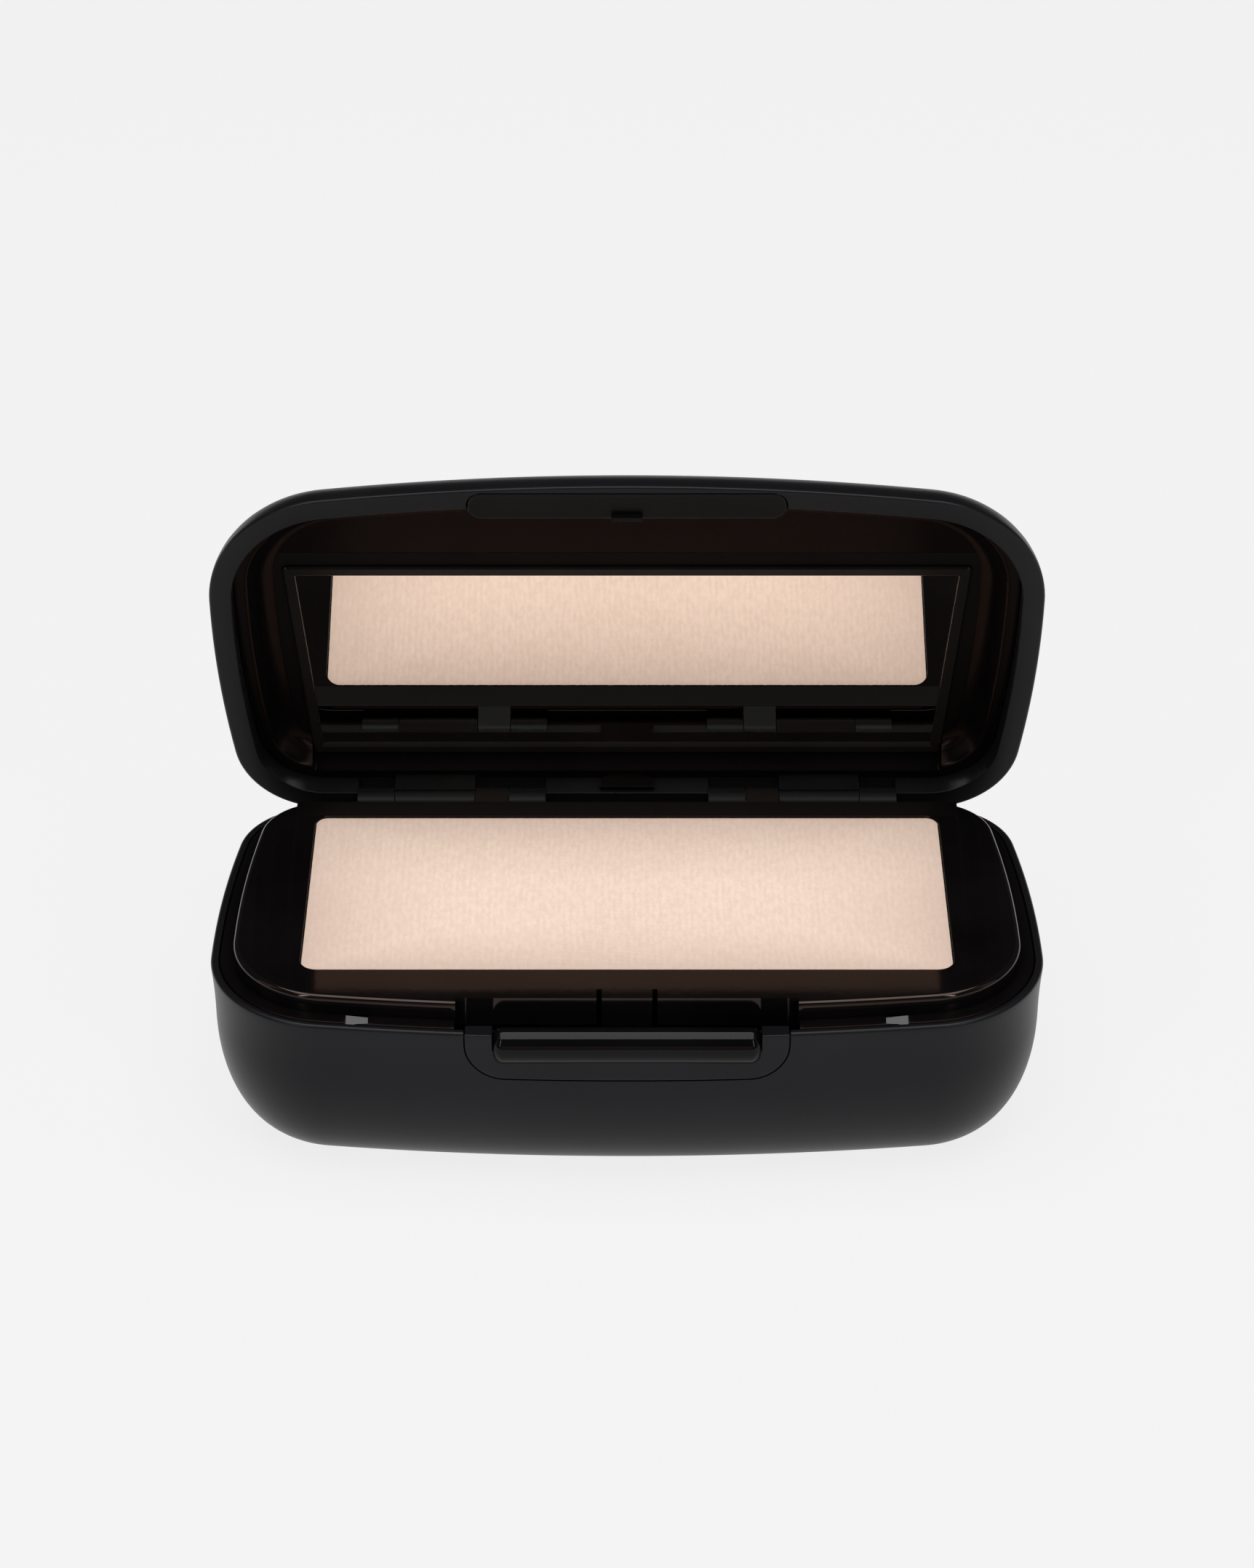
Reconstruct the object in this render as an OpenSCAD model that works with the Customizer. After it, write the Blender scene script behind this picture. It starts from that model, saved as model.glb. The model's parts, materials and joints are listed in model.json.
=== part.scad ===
// Powder compact with two decks: a hinged mirror lid, a hinged powder tray
// and a puff compartment below it, opened by a push button at the front.
// Millimetres, +Z up, front at -Y, origin at the middle of the resting face.

/* [Outline] */
// height of the parting plane above the resting face
rim_z = 18.4; // [14:0.1:24]
// radius of the gently bowed front edge
front_bow_r = 250; // [150:5:400]
// half angle of the front bow
front_bow_deg = 6.8; // [5:0.05:9]
// plan radius of the front corners
front_corner_r = 12.3; // [8:0.1:14]
// radius of the bowed sides
side_bow_r = 131; // [100:5:300]
// angle of the side bow ahead of the widest point
side_deg_front = 0.5; // [0.3:0.1:4]
// angle of the side bow behind the widest point
side_deg_rear = 8.3; // [4:0.05:10]
// plan radius of the rear corners
rear_corner_r = 8.4; // [6:0.1:11]

/* [Base] */
// how far the base wall tucks in below its rim
base_tuck = 0.3; // [0:0.05:1]
// width of the rounding round the bottom edge
base_round_w = 7.4; // [5:0.1:9]
// height of the rounding round the bottom edge
base_round_h = 12.7; // [8:0.1:14]
// wall of the outer base shell
base_wall = 1.5; // [1.2:0.1:2]
// wall of the compartment liner
liner_wall = 1.1; // [0.8:0.1:1.5]

/* [Tray] */
// height of the tray deck above the parting plane
deck_up = 1.9; // [1:0.1:2.5]
// length of the powder pan, left to right
pan_len = 62.6; // [50:0.1:64]
// depth of the powder pan, front to back
pan_dep = 27; // [20:0.1:29]
// height of the powder pan
pan_high = 4.6; // [3:0.1:6]
// sheet thickness of the pan
pan_sheet = 0.4; // [0.3:0.05:0.6]
// plan radius of the pan corners
pan_r = 1.5; // [1:0.1:4]
// distance from the hinge axis to the rear edge of the pan
pan_back = 5.4; // [5:0.1:7]

/* [Lid] */
// opening angle of the lid as modelled
lid_open = 79; // [0:1:115]
// how far the lid rim stands out beyond the base rim
lid_grow = 0.6; // [0:0.05:0.8]
// width of the lid rim face
lid_rim_w = 2.2; // [1.8:0.1:2.4]
// depth of the lid at its rounded edge
lid_depth = 9; // [8.6:0.1:11]
// inset of the lid's rounded edge at the sides
lid_round = 11.5; // [8:0.1:12]
// how much steeper the rear of the lid is than its front
lid_lean = 4.7; // [0:0.1:5]
// height of the crown on top of the lid
lid_crown = 0.6; // [0.2:0.1:1]
// width of the mirror at its free edge
mirror_len = 66.8; // [56:0.1:67]
// how much narrower the mirror is at the hinge
mirror_taper = 3.8; // [0:0.1:5]
// height of the mirror
mirror_dep = 23.5; // [20:0.1:30]
// glass thickness
mirror_t = 1.0; // [0.8:0.1:1.5]
// distance from the lid rim plane to the mirror face
mirror_in = 5.2; // [3:0.1:5.5]
// distance from the hinge axis to the mirror's rear edge
mirror_back = 3.4; // [3.3:0.1:8]
// finger tab length
tab_len = 31; // [24:0.2:34]

/* [Latch] */
// width of the button panel
button_w = 31; // [26:0.5:34]
// height of the button panel
button_h = 5.4; // [4:0.1:7]
// travel of the button
button_travel = 0.7; // [0.4:0.1:1]
// radius of the finger bar on the button
bar_r = 1.9; // [1.2:0.05:2]
// length of the finger bar
bar_len = 25.6; // [20:0.2:28]

/* [Hinge] */
// radius of the hinge barrels
barrel_r = 1.9; // [1.6:0.1:2.2]
// radius of the hinge pins
pin_r = 0.7; // [0.5:0.05:0.8]
// radial running clearance on the pins
pin_gap = 0.06; // [0.03:0.01:0.1]

/* [Hidden] */
$fn = 48;

fa = front_bow_deg;
c1 = [(front_bow_r - front_corner_r) * sin(fa),
  front_bow_r - (front_bow_r - front_corner_r) * cos(fa)];
c2 = c1 + (front_corner_r - side_bow_r) * [cos(side_deg_front), -sin(side_deg_front)];
c3 = c2 + (side_bow_r - rear_corner_r) * [cos(side_deg_rear), sin(side_deg_rear)];
// distance front to back at the rim, and the two edges set evenly about the origin
rim_dep = c3[1] + rear_corner_r;
front_y = -rim_dep / 2;
rear_y = rim_dep / 2;
hy = rear_y;
hz = rim_z;
half_w = c2[0] + side_bow_r;
gap = 0.05;

black = [0.035, 0.035, 0.04];
gloss = [0.015, 0.015, 0.018];
alu = [0.75, 0.76, 0.77];
steel = [0.62, 0.63, 0.65];
powder_c = [0.90, 0.76, 0.66];
mirror_c = [0.85, 0.88, 0.90];
puff_c = [0.93, 0.84, 0.74];
glue_c = [0.80, 0.80, 0.74];

// Right half of the plan outline, offset outwards by d, front to back.
function arc_pts(c, r, a0, a1, n) = [for (k = [0:n]) let (a = a0 + (a1 - a0) * k / n)
  [c[0] + r * cos(a), c[1] + r * sin(a)]];
function tail(v, s) = [for (i = [s:len(v) - 1]) v[i]];
function half_pts(d) = concat(
  arc_pts([0, front_y + front_bow_r], front_bow_r + d, -90, -90 + fa, 4),
  tail(arc_pts([c1[0], c1[1] + front_y], front_corner_r + d,
    -90 + fa, -side_deg_front, 9), 1),
  tail(arc_pts([c2[0], c2[1] + front_y], side_bow_r + d, -side_deg_front,
    side_deg_rear, 4), 1),
  tail(arc_pts([c3[0], c3[1] + front_y], rear_corner_r + d, side_deg_rear, 90, 8), 1));
// A whole ring at height z. Insets past 6 shrink the ring, which keeps its corners round.
function ring_pts(d, z) = let (e = max(d, -6), h = half_pts(e), n = len(h),
    kx = (half_w + d) / (half_w + e), ky = (rear_y + d) / (rear_y + e)) concat(
  [for (p = h) [kx * p[0], ky * p[1], z]],
  [for (i = [n - 1:-1:1]) [-kx * h[i][0], ky * h[i][1], z]]);

function shifted(pts, s) = [for (p = pts) [p[0], p[1] + s, p[2]]];

// A solid through a stack of outline rings, each [offset, height, shift to the rear].
module loft(rings) {
  rows = [for (r = rings) shifted(ring_pts(r[0], r[1]), len(r) > 2 ? r[2] : 0)];
  n = len(rows[0]);
  m = len(rows);
  polyhedron(
    points = [for (row = rows) each row],
    faces = concat(
      [[for (i = [0:n - 1]) i]],
      [for (k = [0:m - 2]) for (i = [0:n - 1]) let (j = (i + 1) % n)
        [k * n + i, (k + 1) * n + i, (k + 1) * n + j]],
      [for (k = [0:m - 2]) for (i = [0:n - 1]) let (j = (i + 1) % n)
        [k * n + i, (k + 1) * n + j, k * n + j]],
      [[for (i = [n - 1:-1:0]) (m - 1) * n + i]]),
    convexity = 6);
}

// Offset of the base wall at height z above the bottom rounding, and the rounding
// itself at a depth t inside the outer surface.
function wall_d(z) = -base_tuck * (1 - pow((z - base_round_h) / (hz - base_round_h), 2));
function base_round(a, t) = [-base_tuck - base_round_w + (base_round_w - t) * pow(sin(a), 0.93),
  base_round_h - (base_round_h - t) * pow(cos(a), 0.93)];

base_out = concat([for (a = [0, 14, 28, 42, 56, 70]) base_round(a, 0)],
  [[-base_tuck, base_round_h], [wall_d(15.6), 15.6], [wall_d(hz - 0.35), hz - 0.35], [-0.35, hz]]);

// Move a piece built on the closed lid to the modelled opening angle.
module opened() {
  translate([0, hy, hz])
    rotate([-lid_open, 0, 0])
      translate([0, -hy, -hz])
        children();
}

module both() {
  children();
  mirror([1, 0, 0]) children();
}

module bar_x(x0, x1, r) {
  translate([x0, hy, hz]) rotate([0, 90, 0]) cylinder(h = x1 - x0, r = r);
}

module box(x0, x1, y0, y1, z0, z1) {
  translate([x0, y0, z0]) cube([x1 - x0, y1 - y0, z1 - z0]);
}

module rrect(w, d, r) {
  square([w - 2 * r, d], center = true);
  square([w, d - 2 * r], center = true);
  for (sx = [-1, 1]) for (sy = [-1, 1])
    translate([sx * (w / 2 - r), sy * (d / 2 - r)]) circle(r = r);
}

// Window for the button: straight top, rounded lower corners.
module button_window(w, low, r, y0, y1) {
  translate([0, y1, 0]) rotate([90, 0, 0]) linear_extrude(y1 - y0) {
    translate([-w / 2, hz - low + r]) square([w, low - r + 3]);
    translate([-w / 2 + r, hz - low]) square([w - 2 * r, r + 1]);
    translate([-w / 2 + r, hz - low + r]) circle(r = r);
    translate([w / 2 - r, hz - low + r]) circle(r = r);
  }
}

// Room for the hinge barrels in the rear wall, on both sides.
hx0 = 8.3;
hx1 = 27.5;

module base_shell() {
  color(black) difference() {
    loft(concat(base_out, [[-0.8, hz], [-0.8, hz - 1.3], [-base_wall, hz - 1.3],
      [wall_d(15.6) - base_wall, 15.6], [-base_tuck - base_wall, base_round_h]],
      [for (a = [70, 54, 36, 18, 0]) base_round(a, base_wall)]));
    button_window(button_w, button_h, 3.9, front_y - 4, front_y + 3.6);
    both() box(hx0, hx1, hy - 3, hy + 3, hz - 2.2, hz + 1);
    // relief that lets the lid rim swing down behind the base
    box(-33, 33, hy - 0.85, hy + 3, hz - 1, hz + 1);
  }
}

liner_d = -base_wall - 0.1;
module base_liner() {
  li = liner_d - liner_wall;
  color(gloss) difference() {
    union() {
      difference() {
        loft(concat(
          [for (a = [0, 18, 36, 54, 70]) base_round(a, 0.15 - liner_d)],
          [[liner_d - 0.4, base_round_h], [liner_d - 0.35, 15.6], [liner_d - 0.1, hz - 1.25],
            [-0.9, hz - 1.25], [-0.9, hz - 0.2], [-1.1, hz], [li, hz],
            [-base_tuck + li, base_round_h]],
          [for (a = [70, 54, 36, 18, 0]) base_round(a, -li)]));
        box(-16.4, 16.4, front_y - 1, front_y + 4.75, hz - button_h - 0.7, hz + 1);
      }
      // walls of the button chamber
      difference() {
        box(-17.4, 17.4, front_y + 2.6, front_y + 5.5, hz - button_h - 1.6, hz - 1.8);
        box(-16.4, 16.4, front_y - 1, front_y + 4.75, hz - button_h - 0.7, hz + 1);
      }
      // base knuckles of the hinge
      both() for (x = [[8.35, 12], [23.8, 27.45]]) {
        bar_x(x[0], x[1], barrel_r);
        box(x[0], x[1], hy - 2.75, hy, hz - barrel_r, hz);
      }
    }
    both() bar_x(8.9, 30, pin_r + 0.01);
    both() bar_x(12.05, 23.75, barrel_r + 0.25);
  }
}

module pin_one() {
  color(steel) bar_x(9, 27, pin_r);
}

module hinge_pin_right() {
  pin_one();
}

module hinge_pin_left() {
  mirror([1, 0, 0]) pin_one();
}

module puff() {
  color(puff_c) loft([[-11, 3.0], [-8.2, 3.5], [-6.6, 5], [-6.6, 6.4], [-7.6, 7.4],
    [-10, 7.9]]);
}

module button_panel() {
  color(black) {
    difference() {
      intersection() {
        loft(base_out);
        button_window(button_w - 0.24, button_h - 0.12, 3.78, front_y - 3, front_y + 2.1);
      }
      box(-16, 16, front_y - 3, front_y + 3, hz - 0.15, hz + 4);
      // pocket for the finger bar, open at the top
      box(-bar_len / 2 - 0.01, bar_len / 2 + 0.01, front_y - 3, front_y + 1.75, hz - 2, hz + 4);
      box(-bar_len / 2 - 0.01, bar_len / 2 + 0.01, front_y - 3, front_y + 3, hz - 0.7, hz + 4);
      intersection() {
        bar_round(bar_len + 0.02, bar_r + 0.01);
        box(-20, 20, front_y - 3, front_y + 1.75, hz - 6, hz);
      }
    }
    // rim behind the window that keeps the panel in, joined to it by a web
    box(-16.1, 16.1, front_y + 2.45, front_y + 2.85, hz - button_h - 0.5, hz - 1.75);
    box(-12, 12, front_y + 2, front_y + 2.55, hz - button_h + 0.2, hz - 1.75);
  }
}

// Round of the finger bar that runs along the top of the button.
module bar_round(w, r) {
  translate([0, front_y + 1.74, hz - 2]) rotate([0, 90, 0])
    cylinder(h = w, r = r, center = true);
}

module button_bar() {
  color(gloss) intersection() {
    bar_round(bar_len, bar_r);
    box(-bar_len / 2, bar_len / 2, front_y - 3, front_y + 1.74, hz - 6, hz + 1);
  }
}

// Bowed leaf spring behind the button: crown on the button, ends on the chamber wall.
module button_spring() {
  leaf_r = 27.75;
  color(steel) translate([0, front_y + 2.87 + leaf_r, hz - 5.4])
    rotate([0, 0, -90 - 18.9]) rotate_extrude(angle = 37.8)
      translate([leaf_r - 0.2, 0]) square([0.2, 2.6]);
}

pan_y = hy - pan_back - pan_dep / 2;
deck_z = hz + deck_up;
well_floor = deck_z - 0.15 - pan_high - 0.3;

module powder_tray() {
  color(gloss) difference() {
    union() {
      difference() {
        loft([[-4.2, hz + 0.6], [-4.2, hz - 1.2], [-3, hz - 1.2], [-3, hz + gap],
          [-2.3, hz + gap], [-2.3, deck_z - 0.5], [-2.45, deck_z - 0.15], [-2.8, deck_z]]);
        box(-16.3, 16.3, front_y - 1, front_y + 3.7, hz - 3, deck_z + 1);
      }
      // notch back wall
      box(-17.4, 17.4, front_y + 3.7, front_y + 4.7, hz - 1.2, deck_z - 0.3);
      translate([0, pan_y, well_floor - 1])
        linear_extrude(deck_z - 0.3 - well_floor + 1) rrect(pan_len + 2.4, pan_dep + 2.4, pan_r + 1);
      // latch tongue
      box(-2.4, 2.4, front_y + 3.6, front_y + 4.9, hz - 1.6, deck_z - 0.55);
      // tray knuckles
      both() {
        bar_x(12.2, 15.4, barrel_r);
        box(12.2, 15.4, hy - 3.4, hy, hz + gap, hz + barrel_r);
      }
    }
    translate([0, pan_y, well_floor])
      linear_extrude(10) rrect(pan_len + 0.2, pan_dep + 0.2, pan_r + 0.1);
    for (s = [-1, 1]) translate([s * 2.65, 0, 0])
      box(-0.25, 0.25, front_y + 2, front_y + 5.2, hz - 3, deck_z + 1);
    both() bar_x(11, 16, pin_r + pin_gap);
  }
}

module pan_adhesive() {
  color(glue_c) translate([0, pan_y, well_floor])
    linear_extrude(0.3) rrect(pan_len - 8, pan_dep - 8, 2);
}

module powder_pan() {
  color(alu) translate([0, pan_y, well_floor + 0.3]) difference() {
    linear_extrude(pan_high) rrect(pan_len, pan_dep, pan_r);
    translate([0, 0, pan_sheet])
      linear_extrude(pan_high) rrect(pan_len - 2 * pan_sheet, pan_dep - 2 * pan_sheet,
        pan_r - pan_sheet);
  }
}

module pressed_powder() {
  color(powder_c) translate([0, pan_y, well_floor + 0.3 + pan_sheet])
    linear_extrude(pan_high - pan_sheet - 0.12)
      rrect(pan_len - 2 * pan_sheet, pan_dep - 2 * pan_sheet, pan_r - pan_sheet);
}

// Lid pieces below are laid out on the closed lid: u is the height above the rim plane.
function lid_out(a) = [lid_grow - lid_round * (1 - cos(a)), hz + gap + lid_depth * sin(a),
  lid_lean * (1 - cos(a))];
function lid_in(a, t) = [lid_grow - t - (lid_round - 1.3) * (1 - cos(a)),
  hz + gap + (lid_depth - t - 0.1) * sin(a), lid_lean * (1 - cos(a))];
lid_w0 = lid_grow - lid_rim_w;
deck_u = hz + mirror_in + mirror_t + 0.25;

module tab_shape(grow) {
  translate([0, front_y + 1.8, hz + gap]) linear_extrude(1.2 + grow)
    rrect(tab_len + 2 * grow, 3.4 + 2 * grow, 1.5);
}

module lid_shell() {
  color(black) opened() difference() {
    loft(concat(
      [for (a = [88, 75, 62, 50, 39, 29, 21]) lid_in(a, 1.3)],
      [[lid_w0, hz + 2.5], [lid_w0, hz + gap], [lid_grow - 0.25, hz + gap],
        [lid_grow, hz + gap + 0.3]],
      [for (a = [12, 25, 38, 52, 66, 79]) lid_out(a)],
      [[lid_grow - lid_round, hz + gap + lid_depth, lid_lean],
        [-13.5, hz + gap + lid_depth + 0.7 * lid_crown, lid_lean],
        [-15.5, hz + gap + lid_depth + lid_crown, lid_lean]]));
    both() box(hx0, hx1, hy - 3, hy + 3, hz - 1, hz + 2.25);
    tab_shape(0.02);
  }
}

module lid_liner() {
  color(gloss) opened() difference() {
    union() {
      loft(concat(
        [[-5.6, hz + mirror_in, 0.5], [-4.7, hz + mirror_in - 0.25, 0.5],
          [-4, hz + mirror_in - 0.8, 0.4], [-3.5, hz + mirror_in - 1.6, 0.2],
          [-3.1, hz + 2.7, 0.1], [-2.9, hz + 2.3], [lid_w0 - 0.1, hz + 2.3],
          [lid_w0 - 0.1, hz + 2.45]],
        [for (a = [24, 31, 39, 48, 60, 75]) lid_in(a, 1.45)]));
      // lid knuckles with their arms
      both() {
        bar_x(15.6, 23.6, barrel_r);
        box(15.6, 23.6, hy - 2.1, hy, hz + gap, hz + 2.2);
        box(15.6, 23.6, hy - 3.4, hy - 1.75, hz + 2.1, hz + 3);
      }
      // small lug at the middle of the rear edge
      box(-2.8, 2.8, hy - 2.15, hy - 1.65, hz + 0.4, hz + 2.45);
    }
    // pocket for the mirror and its frame
    translate([0, 0, hz + 2]) {
      linear_extrude(mirror_in - 1.48) mirror_outline(0.75, 0.5);
      linear_extrude(deck_u - hz - 2) mirror_outline(0.05, 0);
    }
    both() bar_x(15, 24, pin_r + pin_gap);
  }
}

// Outline of the mirror, narrower at the hinge, grown by g with corners of radius r.
module mirror_outline(g, r) {
  w = mirror_len / 2;
  y1 = hy - mirror_back;
  offset(r = r) offset(delta = g - r) polygon([[-w, y1 - mirror_dep],
    [w, y1 - mirror_dep], [w - mirror_taper / 2, y1], [mirror_taper / 2 - w, y1]]);
}

module mirror_place(z) {
  opened() translate([0, 0, hz + z]) children();
}

module mirror_frame() {
  color(gloss) mirror_place(mirror_in - 0.4) difference() {
    linear_extrude(0.9) mirror_outline(0.7, 0.45);
    translate([0, 0, 0.4]) linear_extrude(3) mirror_outline(0.05, 0);
    translate([0, 0, -1]) linear_extrude(4) mirror_outline(-0.4, 0);
  }
}

module mirror_glass() {
  color(mirror_c) mirror_place(mirror_in) linear_extrude(mirror_t)
    mirror_outline(0, 0);
}

module mirror_adhesive() {
  color(glue_c) mirror_place(mirror_in + mirror_t) linear_extrude(0.24)
    mirror_outline(-3, 1);
}

module finger_tab() {
  color(black) opened() {
    tab_shape(0);
    // hook that the button panel catches
    box(-1.5, 1.5, front_y + 2.65, front_y + 3.15, hz - 0.6, hz + 0.6);
  }
}

base_shell();
base_liner();
hinge_pin_left();
hinge_pin_right();
puff();
button_panel();
button_bar();
button_spring();
powder_tray();
pan_adhesive();
powder_pan();
pressed_powder();
lid_shell();
lid_liner();
mirror_frame();
mirror_glass();
mirror_adhesive();
finger_tab();
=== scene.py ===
import json
import math

import bmesh
import bpy
from mathutils import Matrix, Vector


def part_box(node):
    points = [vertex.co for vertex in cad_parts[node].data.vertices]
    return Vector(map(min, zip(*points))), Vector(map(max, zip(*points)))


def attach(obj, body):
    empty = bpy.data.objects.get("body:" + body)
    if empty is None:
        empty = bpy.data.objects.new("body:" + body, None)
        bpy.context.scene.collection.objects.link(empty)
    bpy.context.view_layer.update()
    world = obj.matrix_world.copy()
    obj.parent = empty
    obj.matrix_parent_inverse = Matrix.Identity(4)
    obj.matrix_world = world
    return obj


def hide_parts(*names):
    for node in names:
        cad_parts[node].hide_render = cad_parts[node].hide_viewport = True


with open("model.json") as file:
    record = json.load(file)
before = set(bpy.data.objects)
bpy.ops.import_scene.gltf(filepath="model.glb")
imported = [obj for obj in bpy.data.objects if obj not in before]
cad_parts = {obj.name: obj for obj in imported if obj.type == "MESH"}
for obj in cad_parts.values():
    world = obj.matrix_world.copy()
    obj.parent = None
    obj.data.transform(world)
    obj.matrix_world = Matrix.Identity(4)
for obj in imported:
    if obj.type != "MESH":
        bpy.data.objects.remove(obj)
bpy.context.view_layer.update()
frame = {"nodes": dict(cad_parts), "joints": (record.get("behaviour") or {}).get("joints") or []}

MM = 0.001
SIN, COS = math.sin, math.cos
RAD = math.radians

# ---------------------------------------------------------------- sizes, mm
# Heights are from the underside of the base. The lid is built closed and then opened.
JOINTS = {j["name"]: j for j in frame["joints"]}
HINGE_Y, HINGE_Z = (v / MM for v in JOINTS["lid_hinge"]["pos_m"][1:])
FRONT_Y = -HINGE_Y
LID_OPEN = -JOINTS["lid_hinge"]["range_deg"][0]
RIM_Z = HINGE_Z
GAP = 0.05  # between the base's rim and what lies on it

# plan outline: bowed front, front corner, bowed side, rear corner (radii, and turns in degrees)
FRONT_BOW_R, FRONT_BOW = 250.0, 6.8
FRONT_CORNER_R, REAR_CORNER_R = 12.3, 8.4
SIDE_BOW_R, SIDE_FRONT, SIDE_REAR = 131.0, 0.5, 8.3

# base: wall drawn in at the bottom by TUCK, rounding ROUND_W wide and ROUND_H high
TUCK, ROUND_W, ROUND_H, BASE_WALL, LINER_WALL = 0.3, 7.4, 12.7, 1.5, 1.1
FLOOR_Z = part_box("base_shell")[0].z
RELIEF_HALF, RELIEF_DEPTH, RELIEF_LOW = 33.0, 0.85, 1.0

# tray, pan and powder
DECK_Z, DECK_IN, DECK_EDGE_R = RIM_Z + 1.9, 2.3, 0.5
PAN_LEN, PAN_DEP, PAN_HIGH, PAN_R, PAN_SHEET = 62.6, 27.0, 4.6, 1.5, 0.4
PAN_Y = HINGE_Y - 5.4 - PAN_DEP / 2
PAN_TOP = DECK_Z - 0.15
PAD_T = 0.3
WELL_FLOOR = PAN_TOP - PAN_HIGH - PAD_T
TONGUE_HALF, SLIT = 2.4, 0.5
RIB_PITCH, CROSS_PITCH = 0.62, 0.66

# lid: how far its rim stands proud of the base and how thick it is, the depth of the side,
# the rounding's width and its lean to the hinge, the crown of the top and its width
LID_GROW, LID_RIM, LID_DEPTH = 0.6, 2.2, 9.0
LID_ROUND, LID_LEAN, LID_CROWN, LID_CROWN_W = 11.5, 4.7, 0.6, 7.4
LID_IN = LID_GROW - LID_RIM
LID_SKIN_T = 1.3

# mirror: face MIRROR_IN above the rim, MIRROR_BACK in front of the hinge, narrower there
MIRROR_LEN, MIRROR_DEP, MIRROR_T, MIRROR_IN, MIRROR_BACK = 66.8, 23.5, 1.0, 5.2, 3.4
MIRROR_TAPER = 3.8
MIRROR_SEAT = RIM_Z + MIRROR_IN + MIRROR_T + 0.25

# finger tab and its latch hook
TAB_LEN, TAB_DEP, TAB_T, TAB_R = 31.0, 3.4, 1.2, 1.5
HOOK_HALF = 1.5

# button with its glossy bar, and the chamber it moves in
BUTTON_W, BUTTON_H, BUTTON_R = 31.0, 5.4, 3.9
BUTTON_GAP = 0.12
BAR_R, BAR_LEN, BAR_DOME = 1.9, 25.6, 1.1
BAR_Y, BAR_Z = FRONT_Y + 1.74, RIM_Z - 2.0
CHAMBER_HALF, CHAMBER_WALL, CHAMBER_BACK = 16.4, 1.0, FRONT_Y + 4.75
CHAMBER_LOW = RIM_Z - BUTTON_H - 0.7
PANEL_BACK = FRONT_Y + 2.1
FLANGE_HALF, WEB_HALF, FLANGE_TOP = 16.1, 12.0, RIM_Z - 1.75

# hinge: room left in the walls, then the spans of the barrels along X
HINGE_IN, HINGE_OUT = 8.3, 27.5
BASE_BARRELS = ((8.31, 12.07), (23.73, 27.49))
TRAY_BARRELS = ((12.13, 15.47),)
LID_BARRELS = ((15.53, 23.67),)
BARREL_R, PIN_R, PIN_GAP = 1.9, 0.7, 0.06

# ------------------------------------------------------------ plan outline


def arc(cx, cy, r, a0, a1, n):
    """n + 1 points on a circle from a0 to a1 degrees."""
    turns = [RAD(a0 + (a1 - a0) * k / n) for k in range(n + 1)]
    return [(cx + r * COS(t), cy + r * SIN(t)) for t in turns]


def half_outline(d):
    """Right half of the plan outline offset outwards by d, front middle to rear corner."""
    k1 = FRONT_BOW_R - FRONT_CORNER_R
    c1 = (k1 * SIN(RAD(FRONT_BOW)), FRONT_BOW_R - k1 * COS(RAD(FRONT_BOW)))
    k2 = FRONT_CORNER_R - SIDE_BOW_R
    c2 = (c1[0] + k2 * COS(RAD(SIDE_FRONT)), c1[1] - k2 * SIN(RAD(SIDE_FRONT)))
    k3 = SIDE_BOW_R - REAR_CORNER_R
    c3 = (c2[0] + k3 * COS(RAD(SIDE_REAR)), c2[1] + k3 * SIN(RAD(SIDE_REAR)))
    half = arc(0, FRONT_Y + FRONT_BOW_R, FRONT_BOW_R + d, -90, -90 + FRONT_BOW, 14)
    half += arc(c1[0], c1[1] + FRONT_Y, FRONT_CORNER_R + d, -90 + FRONT_BOW, -SIDE_FRONT, 26)[1:]
    half += arc(c2[0], c2[1] + FRONT_Y, SIDE_BOW_R + d, -SIDE_FRONT, SIDE_REAR, 12)[1:]
    return half + arc(c3[0], c3[1] + FRONT_Y, REAR_CORNER_R + d, SIDE_REAR, 90, 22)[1:]


HALF_W = max(x for x, y in half_outline(0))


def outline(d):
    """The whole outline, anticlockwise. Insets past 6 shrink the ring and keep its corners."""
    e = max(d, -6.0)
    kx, ky = (HALF_W + d) / (HALF_W + e), (HINGE_Y + d) / (HINGE_Y + e)
    half = [(kx * x, ky * y) for x, y in half_outline(e)]
    x_end, y_end = half[-1]
    half += [(x_end * t, y_end) for t in (0.8, 0.6, 0.4, 0.2)]
    return half + [(0, y_end)] + [(-x, y) for x, y in half[:0:-1]]


def rounded_rect(w, h, r, n=8):
    """Rectangle w by h round the origin, n steps to each corner."""
    pts = []
    for cx, cy, a in ((w / 2 - r, -h / 2 + r, -90), (w / 2 - r, h / 2 - r, 0),
                      (-w / 2 + r, h / 2 - r, 90), (-w / 2 + r, -h / 2 + r, 180)):
        pts += arc(cx, cy, r, a, a + 90, n)
    return pts


def mirror_outline(g, r):
    """Outline of the mirror, narrower at the hinge, grown by g with corners of radius r."""
    steps = 4
    lean = MIRROR_TAPER / 2 / MIRROR_DEP
    y1 = HINGE_Y - MIRROR_BACK
    pts = []
    for side, end in ((1, 0), (1, 1), (-1, 1), (-1, 0)):
        y = y1 + g if end else y1 - MIRROR_DEP - g
        x = MIRROR_LEN / 2 - lean * (y - y1 + MIRROR_DEP) + g * math.hypot(1, lean)
        cx, cy = side * (x - r), y - r if end else y + r
        a = (-90, 0, 90, 180)[end if side > 0 else 3 - end]
        pts += arc(cx, cy, r, a, a + 90, steps)
    return pts


# ------------------------------------------------------------- mesh making


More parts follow.
